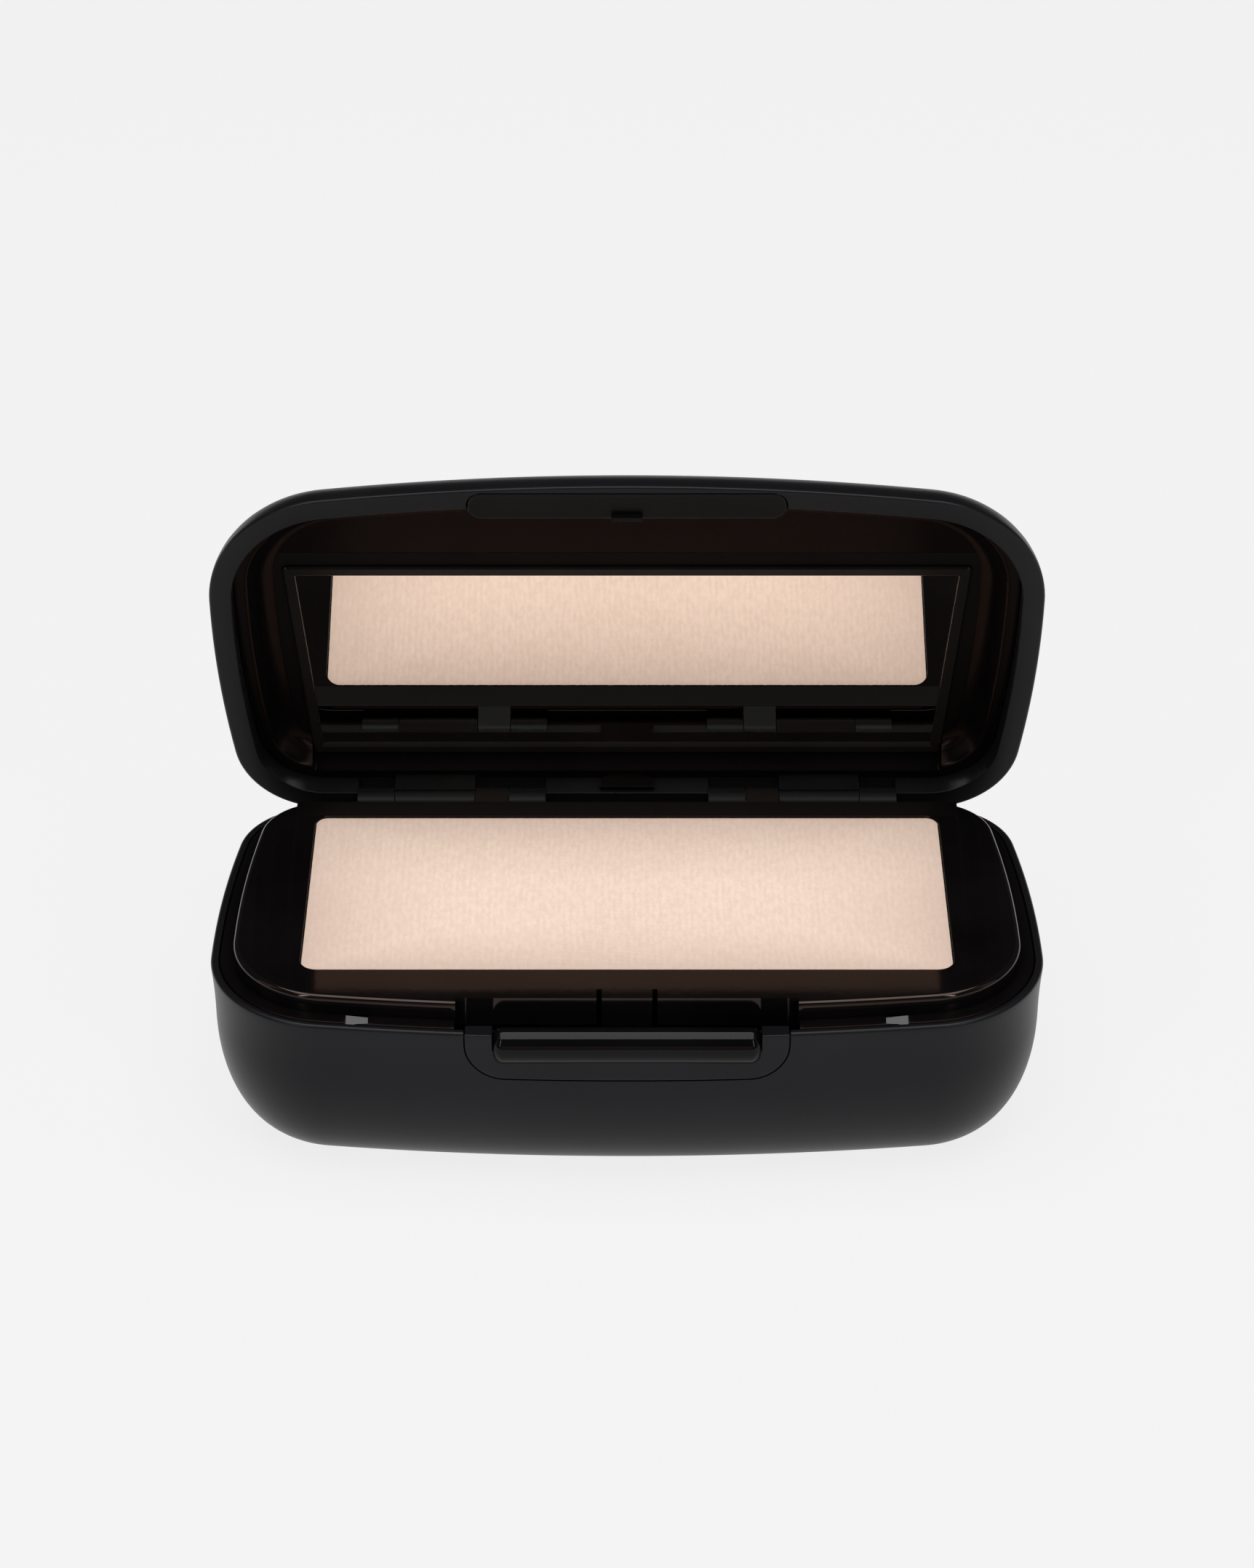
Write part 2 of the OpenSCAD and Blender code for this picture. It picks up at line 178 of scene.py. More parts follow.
def mesh_object(name, verts, faces):
    me = bpy.data.meshes.new(name)
    me.from_pydata(verts, [], faces)
    me.validate()
    ob = bpy.data.objects.new(name, me)
    bpy.context.scene.collection.objects.link(ob)
    return ob


def skin(name, rows):
    """A closed solid through rows of points, capped at both ends."""
    n, m = len(rows[0]), len(rows)
    verts = [p for row in rows for p in row]
    faces = [list(range(n))[::-1], [(m - 1) * n + i for i in range(n)]]
    for k in range(m - 1):
        for i in range(n):
            j = (i + 1) % n
            faces.append((k * n + i, k * n + j, (k + 1) * n + j, (k + 1) * n + i))
    return mesh_object(name, verts, faces)


def loft(name, rings):
    """Solid through plan outlines: (offset, height) or (offset, height, shift along Y)."""
    rows = []
    for ring in rings:
        d, z, s = (*ring, 0.0)[:3]
        rows.append([(x, y + s, z) for x, y in outline(d)])
    return skin(name, rows)


def prism(name, pts, z0, z1, at=(0, 0)):
    """Upright solid of one outline."""
    return skin(name, [[(x + at[0], y + at[1], z) for x, y in pts] for z in (z0, z1)])


def stack(name, layers, at=(0, 0)):
    """A solid through outlines at heights: [(points, z), ...]."""
    return skin(name, [[(x + at[0], y + at[1], z) for x, y in pts] for pts, z in layers])


def block(x0, x1, y0, y1, z0, z1):
    return prism("block", [(x0, y0), (x1, y0), (x1, y1), (x0, y1)], z0, z1)


def circle(r, y, z, n):
    """n points (y, z) round a circle."""
    turns = [2 * math.pi * i / n for i in range(n)]
    return [(y + r * COS(t), z + r * SIN(t)) for t in turns]


def rod(x0, x1, r):
    """Cylinder on the hinge line."""
    return skin("rod", [[(x, a, b) for a, b in circle(r, HINGE_Y, HINGE_Z, 40)]
                        for x in (x0, x1)])


def apply_modifiers(ob):
    """Replaces the mesh with its modified one."""
    dg = bpy.context.evaluated_depsgraph_get()
    me = bpy.data.meshes.new_from_object(ob.evaluated_get(dg), depsgraph=dg)
    old = ob.data
    ob.modifiers.clear()
    ob.data = me
    bpy.data.meshes.remove(old)


def combine(ob, others, operation):
    """Boolean of ob with each other solid, which is used up."""
    for o in others:
        mod = ob.modifiers.new("b", "BOOLEAN")
        mod.operation, mod.object, mod.solver = operation, o, "EXACT"
        apply_modifiers(ob)
        bpy.data.objects.remove(o)
    return ob


def cut(ob, *others):
    return combine(ob, others, "DIFFERENCE")


def add(ob, *others):
    return combine(ob, others, "UNION")


def keep(ob, *others):
    return combine(ob, others, "INTERSECT")


def mirrored(make, *args):
    """The same solid made at +X and at -X."""
    a, b = make(*args), make(*args)
    b.data.transform(Matrix.Scale(-1, 4, (1, 0, 0)))
    b.data.flip_normals()
    return a, b


def soften(ob, width, segments=2, angle=50):
    """Rounds the edges that are sharper than the angle."""
    mod = ob.modifiers.new("bevel", "BEVEL")
    mod.width, mod.segments, mod.limit_method = width, segments, "ANGLE"
    mod.angle_limit = RAD(angle)
    mod.use_clamp_overlap = True
    apply_modifiers(ob)
    return ob


OPEN_LID = (Matrix.Translation((0, HINGE_Y, HINGE_Z)) @ Matrix.Rotation(RAD(-LID_OPEN), 4, "X")
            @ Matrix.Translation((0, -HINGE_Y, -HINGE_Z)))


MERGE = 1e-6  # metres


def finish_piece(ob, name, body, mat, slot, *nodes, smooth=34, lid=False):
    """Millimetres to metres, shading, material, body and the CAD nodes it stands for."""
    me = ob.data
    if lid:
        me.transform(OPEN_LID)
    me.transform(Matrix.Scale(MM, 4))
    ob.name = me.name = name
    bm = bmesh.new()
    bm.from_mesh(me)
    bmesh.ops.remove_doubles(bm, verts=bm.verts, dist=MERGE)
    bmesh.ops.dissolve_degenerate(bm, edges=bm.edges, dist=MERGE)
    bmesh.ops.recalc_face_normals(bm, faces=bm.faces)
    bm.to_mesh(me)
    bm.free()
    for p in me.polygons:
        p.use_smooth = True
    me.set_sharp_from_angle(angle=RAD(smooth))
    mod = ob.modifiers.new("weighted", "WEIGHTED_NORMAL")
    mod.keep_sharp, mod.weight = True, 80
    apply_modifiers(ob)
    ob.data.materials.clear()
    ob.data.materials.append(mat)
    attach(ob, body)
    if nodes:
        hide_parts(*nodes)
    return ob


# --------------------------------------------------------------- materials


class Mat:
    """A Principled material with helpers for its node tree, on object coordinates."""

    def __init__(self, name, color, rough, **inputs):
        self.mat = bpy.data.materials.new(name)
        self.mat.use_nodes = True
        self.nt = self.mat.node_tree
        self.bsdf = self.nt.nodes["Principled BSDF"]
        self.set("Base Color", (*color, 1.0))
        self.set("Roughness", rough)
        for k, v in inputs.items():
            self.set(k.replace("_", " "), v)
        self.coord = self.node("ShaderNodeTexCoord").outputs["Object"]

    def set(self, key, value):
        self.bsdf.inputs[key].default_value = value

    def node(self, kind, **props):
        n = self.nt.nodes.new(kind)
        for k, v in props.items():
            setattr(n, k, v)
        return n

    def link(self, a, b):
        self.nt.links.new(a, b)

    def noise(self, scale, detail=3.0, rough=0.5, coord=None):
        n = self.node("ShaderNodeTexNoise")
        self.link(coord or self.coord, n.inputs["Vector"])
        n.inputs["Scale"].default_value = scale
        n.inputs["Detail"].default_value = detail
        n.inputs["Roughness"].default_value = rough
        return n.outputs["Fac"]

    def remap(self, fac, a0, a1, b0, b1):
        """a0 to a1 becomes b0 to b1, clamped."""
        n = self.node("ShaderNodeMapRange")
        self.link(fac, n.inputs["Value"])
        for key, v in (("From Min", a0), ("From Max", a1), ("To Min", b0), ("To Max", b1)):
            n.inputs[key].default_value = v
        return n.outputs["Result"]

    def math(self, op, a, b=None):
        """One operation on numbers or outputs."""
        n = self.node("ShaderNodeMath", operation=op)
        for i, v in enumerate((a, b)):
            if v is None:
                continue
            if isinstance(v, (int, float)):
                n.inputs[i].default_value = v
            else:
                self.link(v, n.inputs[i])
        return n.outputs[0]

    def mix(self, fac, c0, c1):
        """Colour between c0 and c1; a Mix node's colours are inputs 6 and 7 and output 2."""
        n = self.node("ShaderNodeMix", data_type="RGBA")
        self.link(fac, n.inputs["Factor"])
        for key, v in ((6, c0), (7, c1)):
            if isinstance(v, tuple):
                n.inputs[key].default_value = (*v, 1.0)
            else:
                self.link(v, n.inputs[key])
        return n.outputs[2]

    def bump(self, height, distance, strength=1.0, under=None):
        n = self.node("ShaderNodeBump")
        n.inputs["Strength"].default_value = strength
        n.inputs["Distance"].default_value = distance
        self.link(height, n.inputs["Height"])
        if under is not None:
            self.link(under, n.inputs["Normal"])
        return n.outputs["Normal"]

    def finish(self, color=None, rough=None, normal=None):
        for key, v in (("Base Color", color), ("Roughness", rough), ("Normal", normal)):
            if v is not None:
                self.link(v, self.bsdf.inputs[key])
        return self.mat


def plastic(name, dark, light, rough, spread, grain, grain_depth, **inputs):
    """Moulded plastic: faint tone drift, roughness drift and a fine grain."""
    m = Mat(name, light, rough, **inputs)
    drift = m.noise(90.0, detail=3.0)
    fine = m.noise(grain, detail=2.0, rough=0.6)
    swirl = m.noise(35.0, detail=4.0, rough=0.6)
    return m.finish(
        color=m.mix(m.remap(drift, 0.35, 0.65, 0, 1), dark, light),
        rough=m.remap(swirl, 0.3, 0.7, rough - spread, rough + spread),
        normal=m.bump(fine, grain_depth))


def metal(name, color, rough, scale):
    """Drawn or rolled metal: fine lines, stretched by the scale of their coordinates."""
    m = Mat(name, color, rough, Metallic=1.0)
    mapping = m.node("ShaderNodeMapping")
    m.link(m.coord, mapping.inputs["Vector"])
    mapping.inputs["Scale"].default_value = scale
    lines = m.noise(2500.0, detail=2.0, coord=mapping.outputs["Vector"])
    tone = m.noise(140.0, detail=3.0)
    dull = tuple(c * 0.88 for c in color)
    return m.finish(color=m.mix(tone, dull, color),
                    rough=m.remap(lines, 0.3, 0.7, rough * 0.8, rough * 1.3),
                    normal=m.bump(lines, 4e-6))


def powder_material():
    """Matt pressed powder: swaying ribs and flecks over a soft grain, with painted shade in the
    rib grooves and painted shade darkening it towards the edges.
    """
    pink, cream = (0.89, 0.695, 0.575), (0.915, 0.722, 0.602)
    # the first colour is painted shade for the pan's edges, the second is painted shade in the rib
    # grooves and also the colour of the flecks, the third is the pale specks
    painted_edge_shade, groove_shade_and_fleck, pale = (0.62, 0.468, 0.388), (0.55, 0.38, 0.28), (0.98, 0.86, 0.76)
    m = Mat("pressed_powder_cake", (0.9, 0.7, 0.58), 0.9)
    m.set("Specular IOR Level", 0.12)
    m.set("Sheen Weight", 0.15)
    m.set("Sheen Roughness", 0.6)
    split = m.node("ShaderNodeSeparateXYZ")
    m.link(m.coord, split.inputs["Vector"])
    x, y = split.outputs["X"], split.outputs["Y"]
    grain = m.noise(3800.0, detail=3.0, rough=0.65)
    cloud = m.noise(70.0, detail=2.0, rough=0.5)
    # flecks, longer along Y than across
    waves = m.node("ShaderNodeMapping")
    m.link(m.coord, waves.inputs["Vector"])
    waves.inputs["Scale"].default_value = (1.0, 0.42, 1.0)
    fleck = m.noise(2500.0, detail=2.0, rough=0.6, coord=waves.outputs["Vector"])
    # painted shade: the grooves between the ribs are painted darker than their tops
    sway = m.math("MULTIPLY", m.noise(180.0, detail=2.0), 7.0)
    phase = m.math("ADD", m.math("MULTIPLY", x, 2 * math.pi / (RIB_PITCH * MM)), sway)
    ribs = m.math("SINE", phase)
    # painted shade mask: 0 in the middle to 1 at the pan's edge, less so at the back, where the
    # lid shades it
    dx = m.math("ABSOLUTE", m.math("DIVIDE", x, PAN_LEN / 2 * MM))
    back = m.math("DIVIDE", m.math("SUBTRACT", y, PAN_Y * MM), PAN_DEP / 2 * MM)
    dy = m.math("ABSOLUTE", back)
    near_edge = m.math("MAXIMUM", m.math("POWER", dx, 3.6), m.math("POWER", dy, 2.8))
    edge = m.math("MULTIPLY", near_edge, m.remap(back, 0.0, 1.0, 1.0, 0.55))
    tone = m.mix(m.remap(cloud, 0.3, 0.7, 0, 1), pink, cream)
    # painted shade: the powder's colour darkened towards its edges
    edge_shaded_tone = m.mix(m.remap(edge, 0.1, 1.0, 0, 0.8), tone, painted_edge_shade)
    rib_shaded = m.mix(m.remap(ribs, -1.0, 1.0, 0.075, 0.0), edge_shaded_tone, groove_shade_and_fleck)
    flecked = m.mix(m.remap(fleck, 0.36, 0.64, 0.2, 0.0), rib_shaded, groove_shade_and_fleck)
    speck = m.mix(m.remap(grain, 0.62, 0.75, 0, 0.25), flecked, pale)
    return m.finish(color=speck, rough=m.remap(cloud, 0.3, 0.7, 0.85, 0.95),
                    normal=m.bump(grain, 1.6e-5))


def velour_material():
    """Short pile with a brushed nap."""
    m = Mat("puff_velour", (0.86, 0.74, 0.63), 0.95)
    m.set("Sheen Weight", 0.7)
    m.set("Sheen Roughness", 0.4)
    m.set("Specular IOR Level", 0.1)
    pile = m.noise(2600.0, detail=3.0, rough=0.7)
    nap = m.noise(220.0, detail=4.0, rough=0.6)
    color = m.mix(m.remap(nap, 0.35, 0.65, 0, 1), (0.80, 0.67, 0.56), (0.90, 0.79, 0.68))
    return m.finish(color=color, rough=m.remap(pile, 0.3, 0.7, 0.85, 1.0),
                    normal=m.bump(pile, 6e-5, under=m.bump(nap, 1.5e-4, 0.5)))


def mirror_material():
    """Silvered glass with a trace of haze."""
    m = Mat("silvered_mirror", (0.93, 0.905, 0.88), 0.01, Metallic=1.0)
    haze = m.noise(60.0, detail=4.0)
    return m.finish(rough=m.remap(haze, 0.3, 0.8, 0.004, 0.014))


def adhesive_material():
    """Foam pad."""
    m = Mat("adhesive_pad", (0.72, 0.72, 0.66), 0.7)
    cells = m.noise(1500.0, detail=2.0)
    return m.finish(color=m.mix(cells, (0.62, 0.62, 0.56), (0.78, 0.78, 0.72)),
                    normal=m.bump(cells, 5e-5))


SATIN = plastic("satin_black_plastic", (0.004, 0.004, 0.0047), (0.0055, 0.0055, 0.0064),
                rough=0.36, spread=0.03, grain=5200.0, grain_depth=4e-6,
                Specular_IOR_Level=0.2,
                Specular_Tint=(0.93, 0.95, 1.0, 1.0))
TAB = plastic("tab_black_plastic", (0.002, 0.002, 0.002), (0.003, 0.003, 0.003),
              rough=0.3, spread=0.03, grain=5200.0, grain_depth=4e-6,
              Specular_IOR_Level=0.13)
GLOSS = plastic("gloss_black_plastic", (0.0025, 0.0022, 0.0022), (0.004, 0.0035, 0.0035),
                rough=0.07, spread=0.02, grain=900.0, grain_depth=2e-6,
                Specular_IOR_Level=0.36,
                Specular_Tint=(1.0, 0.74, 0.64, 1.0))
LINING = plastic("lining_black_plastic", (0.002, 0.0018, 0.0018), (0.003, 0.0026, 0.0026),
                 rough=0.26, spread=0.03, grain=900.0, grain_depth=2e-6,
                 Specular_IOR_Level=0.085,
                 Specular_Tint=(1.0, 0.6, 0.5, 1.0))
FACET = plastic("facet_black_plastic", (0.002, 0.002, 0.002), (0.003, 0.003, 0.003),
                rough=0.1, spread=0.02, grain=900.0, grain_depth=2e-6,
                Specular_IOR_Level=0.42)
SILL = plastic("sill_black_plastic", (0.002, 0.0015, 0.0014), (0.003, 0.0022, 0.002),
               rough=0.5, spread=0.03, grain=4200.0, grain_depth=4e-6,
               Specular_IOR_Level=0.06)
BAR = plastic("bar_black_plastic", (0.002, 0.002, 0.002), (0.003, 0.003, 0.003),
              rough=0.07, spread=0.02, grain=900.0, grain_depth=2e-6,
              Specular_IOR_Level=0.15)
ARM = plastic("hinge_black_plastic", (0.003, 0.003, 0.003), (0.0045, 0.0045, 0.0042),
              rough=0.36, spread=0.04, grain=3200.0, grain_depth=4e-6,
              Specular_IOR_Level=0.1)
FRAME = plastic("frame_black_plastic", (0.008, 0.007, 0.006), (0.010, 0.009, 0.008),
                rough=0.24, spread=0.03, grain=2400.0, grain_depth=3e-6,
                Specular_IOR_Level=0.14)
ALUMINIUM = metal("pan_aluminium_sheet", (0.80, 0.80, 0.81), rough=0.25, scale=(1, 1, 0.05))
STEEL = metal("drawn_steel_wire", (0.62, 0.62, 0.63), rough=0.22, scale=(0.05, 1, 1))
POWDER = powder_material()
VELOUR = velour_material()
MIRROR = mirror_material()
ADHESIVE = adhesive_material()

# -------------------------------------------------------------------- base


def wall_d(z):
    """Offset of the base's outer wall at a height."""
    return -TUCK * (1 - ((z - ROUND_H) / (RIM_Z - ROUND_H)) ** 2)


def base_round(a, t):
    """Profile of the bottom rounding at angle a, a depth t inside the outer surface."""
    return (-TUCK - ROUND_W + (ROUND_W - t) * SIN(RAD(a)) ** 0.93,
            ROUND_H - (ROUND_H - t) * max(0.0, COS(RAD(a))) ** 0.93)


def base_profile():
    """Outer surface from the underside to the rounded rim."""
    rings = [base_round(90 * k / 24, 0) for k in range(24)]
    r = 0.35
    top = RIM_Z - r
    rings += [(wall_d(z), z) for z in (ROUND_H + (top - ROUND_H) * k / 8 for k in range(9))]
    rings += [(-r + wall_d(top) + r * COS(RAD(a)), top + r * SIN(RAD(a)))
              for a in (22, 45, 68, 90)]
    return rings


def button_hole(w, low, r, y0, y1):
    """Prism along Y: straight above, rounded lower corners."""
    top = RIM_Z + 3
    pts = [(w / 2, top)] + arc(w / 2 - r, RIM_Z - low + r, r, 0, -90, 12)
    pts += arc(-w / 2 + r, RIM_Z - low + r, r, -90, -180, 12) + [(-w / 2, top)]
    return skin("hole", [[(x, y, z) for x, z in pts] for y in (y0, y1)])


def hinge_room(low, high):
    """Block over the barrels of one hinge, between two heights above the rim."""
    return block(HINGE_IN, HINGE_OUT, HINGE_Y - 3, HINGE_Y + 3, RIM_Z + low, RIM_Z + high)


def make_base_shell():
    """Outer shell: a step inside the rim, the button's window, hinge room and rear relief."""
    inner = [(-0.66, RIM_Z), (-0.76, RIM_Z - 0.05), (-0.8, RIM_Z - 0.15), (-0.8, RIM_Z - 1.3),
             (-BASE_WALL, RIM_Z - 1.3)]
    inner += [(wall_d(z) - BASE_WALL, z) for z in (15.5, 14, ROUND_H)]
    inner += [base_round(a, BASE_WALL) for a in range(84, -1, -7)]
    ob = loft("shell", base_profile() + inner)
    cut(ob, button_hole(BUTTON_W, BUTTON_H, BUTTON_R, FRONT_Y - 4, FRONT_Y + 3.6),
        *mirrored(hinge_room, -2.2, 1),
        block(-RELIEF_HALF, RELIEF_HALF, HINGE_Y - RELIEF_DEPTH, HINGE_Y + 3,
              RIM_Z - RELIEF_LOW, RIM_Z + 1))
    finish_piece(ob, "base_shell_skin", "base", SATIN, "satin_black", "base_shell")


FACET_SPAN = (24.6, 26.8)


def ledge_wedge(x0, x1, lift=0.0, thick=1.2):
    """Block over the front ledge whose underside slopes down towards the front."""
    y = FRONT_Y + FRONT_BOW_R - math.sqrt(FRONT_BOW_R ** 2 - x1 ** 2)
    low, high = (y + 0.85, RIM_Z - 0.95 + lift), (y + 2.45, RIM_Z - 0.12 + lift)
    pts = [low, high, (high[0], high[1] + thick), (low[0], low[1] + thick)]
    return skin("wedge", [[(x, yy, zz) for yy, zz in pts] for x in (x0, x1)])


def chamber_room():
    """The free space the button moves in."""
    return block(-CHAMBER_HALF, CHAMBER_HALF, FRONT_Y - 1, CHAMBER_BACK, CHAMBER_LOW, RIM_Z + 1)


def make_base_liner():
    """Liner inside the shell, its ledge filling the step, with the button's chamber."""
    out = -BASE_WALL - 0.1
    inn = out - LINER_WALL
    rings = [base_round(a, 0.15 - out) for a in range(0, 85, 7)]
    rings += [(out - 0.4, ROUND_H), (out - 0.35, 15.6), (out - 0.1, RIM_Z - 1.25),
              (-0.9, RIM_Z - 1.25), (-0.9, RIM_Z - 0.25), (-0.96, RIM_Z - 0.1), (-1.15, RIM_Z),
              (inn + 0.2, RIM_Z), (inn + 0.06, RIM_Z - 0.06), (inn, RIM_Z - 0.2),
              (inn - TUCK, ROUND_H)]
    rings += [base_round(a, -inn) for a in range(84, -1, -7)]
    ob = loft("liner", rings)
    cut(ob, chamber_room())
    half = CHAMBER_HALF + CHAMBER_WALL
    chamber = block(-half, half, FRONT_Y + 2.6, CHAMBER_BACK + 0.75, CHAMBER_LOW - 0.9,
                    RIM_Z - 1.8)
    add(ob, cut(chamber, chamber_room()))
    cut(ob, *mirrored(rod, HINGE_IN, HINGE_OUT, BARREL_R + 0.02),
        *mirrored(ledge_wedge, *FACET_SPAN))
    finish_piece(ob, "base_liner_moulding", "base", LINING, "gloss_black", "base_liner")


def make_ledge_facets():
    """Polished sloped stops on the front ledge, one near each corner."""
    x0, x1 = FACET_SPAN
    a, b = mirrored(ledge_wedge, x0 + 0.05, x1 - 0.05, 0.0, 0.06)
    finish_piece(add(a, b), "ledge_facets", "base", FACET, "gloss_black")


def knuckles(name, body, spans, reach, z0, z1, lid=False):
    """Hinge barrels in pairs, each with the web that joins it to its moulding."""
    parts = []
    for x0, x1 in spans:
        for web, barrel in zip(mirrored(block, x0, x1, HINGE_Y - reach, HINGE_Y, z0, z1),
                               mirrored(rod, x0, x1, BARREL_R)):
            parts.append(add(web, barrel))
    past_hinge = HINGE_OUT + 2.5
    for ob in parts:
        cut(ob, rod(-past_hinge, past_hinge, PIN_R + PIN_GAP))
        soften(ob, 0.12, angle=60)
    for ob in parts[1:]:
        add(parts[0], ob)
    finish_piece(parts[0], name, body, ARM, "gloss_black", lid=lid)


def make_puff():
    """Flat velour puff: crowned faces, a pinched seam round the edge."""
    rings = [(-14, 3.02), (-11, 3.0), (-8.6, 3.35), (-7.3, 3.95), (-6.8, 4.6), (-6.75, 5.1),
             (-6.95, 5.32), (-6.95, 5.5), (-6.75, 5.72), (-6.85, 6.2), (-7.4, 6.85), (-8.8, 7.4),
             (-11, 7.75), (-14, 7.88), (-17, 7.9)]
    piece = finish_piece(loft("puff", rings), "velour_puff", "base", VELOUR, "puff", "puff",
                         smooth=80)


# ------------------------------------------------------------------ button


def bar_solid(grow=0.0):
    """Rounded ridge along X with domed ends."""
    half, neck = BAR_LEN / 2 + grow, BAR_R + grow - BAR_DOME
    profile = [(-half + BAR_DOME * (1 - COS(RAD(a))), neck + BAR_DOME * SIN(RAD(a)))
               for a in range(0, 91, 9)]
    profile += [(-x, r) for x, r in profile[::-1]]
    return skin("bar", [[(x, y, z) for y, z in circle(r, BAR_Y, BAR_Z, 48)] for x, r in profile])


def make_button_panel():
    """Piece of the base's own front, with the bar's pocket and a flange behind it."""
    ob = loft("panel", base_profile())
    keep(ob, button_hole(BUTTON_W - 2 * BUTTON_GAP, BUTTON_H - BUTTON_GAP,
                         BUTTON_R - BUTTON_GAP, FRONT_Y - 3, PANEL_BACK))
    above, outside, half, fit = RIM_Z + 4, FRONT_Y - 3, BUTTON_W / 2 + 0.5, 0.01
    cut(ob, block(-half, half, outside, FRONT_Y + 3, RIM_Z - 0.15, above))
    soften(ob, 0.2, segments=3)
    half, back = BAR_LEN / 2 + fit, BAR_Y + fit
    pocket = keep(bar_solid(fit), block(-20, 20, outside, back, RIM_Z - 6, RIM_Z))
    cut(ob, pocket, block(-half, half, outside, back, BAR_Z, above),
        block(-half, half, outside, FRONT_Y + 3, RIM_Z - 0.7, above))
    add(ob, block(-FLANGE_HALF, FLANGE_HALF, FRONT_Y + 2.45, FRONT_Y + 2.85,
                  RIM_Z - BUTTON_H - 0.5, FLANGE_TOP),
        block(-WEB_HALF, WEB_HALF, FRONT_Y + 2, FRONT_Y + 2.55, RIM_Z - BUTTON_H + 0.2,
              FLANGE_TOP))
    finish_piece(ob, "button_face", "release_button", SATIN, "satin_black", "button_panel")


def make_button_bar():
    """The front half of the ridge."""
    ob = bar_solid()
    keep(ob, block(-BAR_LEN, BAR_LEN, FRONT_Y - 3, BAR_Y, RIM_Z - 6, RIM_Z + 1))
    finish_piece(ob, "button_ridge", "release_button", BAR, "gloss_black", "button_bar",
                 smooth=50)


# -------------------------------------------------------------------- tray


def pan_outline(grow):
    """The pan's outline with a margin of grow / 2 on every side."""
    return rounded_rect(PAN_LEN + grow, PAN_DEP + grow, PAN_R + grow / 2)


def make_tray():
    """Raised deck with a rolled edge, the pan's well, and a notched front with its tongue."""
    r, skirt, notch, front = DECK_EDGE_R, RIM_Z - 1.2, 16.3, FRONT_Y + 3.7
    rings = [(-4.2, RIM_Z + 0.6), (-4.2, skirt), (-3, skirt), (-3, RIM_Z + GAP),
             (-DECK_IN, RIM_Z + GAP)]
    rings += [(-DECK_IN - r + r * COS(RAD(a)), DECK_Z - r + r * SIN(RAD(a)))
              for a in (0, 15, 30, 45, 60, 75, 90)]
    ob = loft("tray", rings)
    cut(ob, block(-notch, notch, FRONT_Y - 1, front, RIM_Z - 3, DECK_Z + 1))
    well = prism("well", rounded_rect(PAN_LEN + 2.4, PAN_DEP + 2.4, PAN_R + 1),
                 WELL_FLOOR - 1, DECK_Z - 0.3, (0, PAN_Y))
    wall = notch + 1.1
    add(ob, well, block(-wall, wall, front, front + 1, skirt, DECK_Z - 0.3),
        block(-TONGUE_HALF, TONGUE_HALF, front - 0.1, front + 1.2, RIM_Z - 1.6, DECK_Z - 0.55))
    mouth = stack("mouth", [(pan_outline(0.2), WELL_FLOOR), (pan_outline(0.2), DECK_Z - 0.12),
                            (pan_outline(0.3), DECK_Z - 0.03), (pan_outline(0.5), DECK_Z + 0.02),
                            (pan_outline(0.5), DECK_Z + 3)], (0, PAN_Y))
    cut(ob, mouth, *mirrored(block, TONGUE_HALF, TONGUE_HALF + SLIT, FRONT_Y + 2, front + 1.5,
                             RIM_Z - 3, DECK_Z + 1))
    finish_piece(ob, "tray_moulding", "tray", GLOSS, "gloss_black", "powder_tray")


def make_tray_sill():
    """Satin strip along the rear of the tray, in front of the hinge."""
    y0, y1, z = HINGE_Y - 5.12, HINGE_Y - 2.4, DECK_Z
    profile = [(y0, z - 0.1), (y0 + 0.03, z + 0.02), (y0 + 0.12, z + 0.05), (y1 - 0.3, z + 0.05),
               (y1 - 0.1, z + 0.02), (y1, z - 0.1)]
    half = PAN_LEN / 2 + 2.2
    ob = skin("sill", [[(x, y, zz) for y, zz in profile] for x in (-half, half)])
    soften(ob, 0.04, angle=60)
    finish_piece(ob, "tray_sill", "tray", SILL, "satin_black")


def make_pan():
    """Open pan of thin sheet."""
    top, low = PAN_TOP, PAN_TOP - PAN_HIGH
    outer = pan_outline(0)
    lip = rounded_rect(PAN_LEN - 0.1, PAN_DEP - 0.1, PAN_R)
    inner = rounded_rect(PAN_LEN - 2 * PAN_SHEET, PAN_DEP - 2 * PAN_SHEET, PAN_R - PAN_SHEET)
    floor = rounded_rect(PAN_LEN - 0.8, PAN_DEP - 0.8, PAN_R - 0.3)
    ob = stack("pan", [(floor, low), (outer, low + 0.4), (outer, top - 0.1), (lip, top),
                       (inner, top), (inner, low + PAN_SHEET)], (0, PAN_Y))
    finish_piece(ob, "pan_sheet_metal", "tray", ALUMINIUM, "pan_aluminium", "powder_pan")


def rib_height(x, y):
    """Emboss of the cake, mm: upright ribs, wandering and crossed in the middle."""
    u = x / (PAN_LEN / 2)
    middle = math.exp(-(u / 0.42) ** 2)
    wave = 0.55 * middle * SIN(2 * math.pi * y / 3.1 + 0.35 * x)
    wave += 0.10 * SIN(2 * math.pi * y / 1.7)
    ribs = SIN(2 * math.pi * (x + 0.35 * wave) / RIB_PITCH)
    cross = SIN(2 * math.pi * (y + 0.18 * x * middle) / CROSS_PITCH)
    return 0.011 * ribs * (1 - 0.45 * middle) + 0.012 * cross * middle + 0.003 * cross


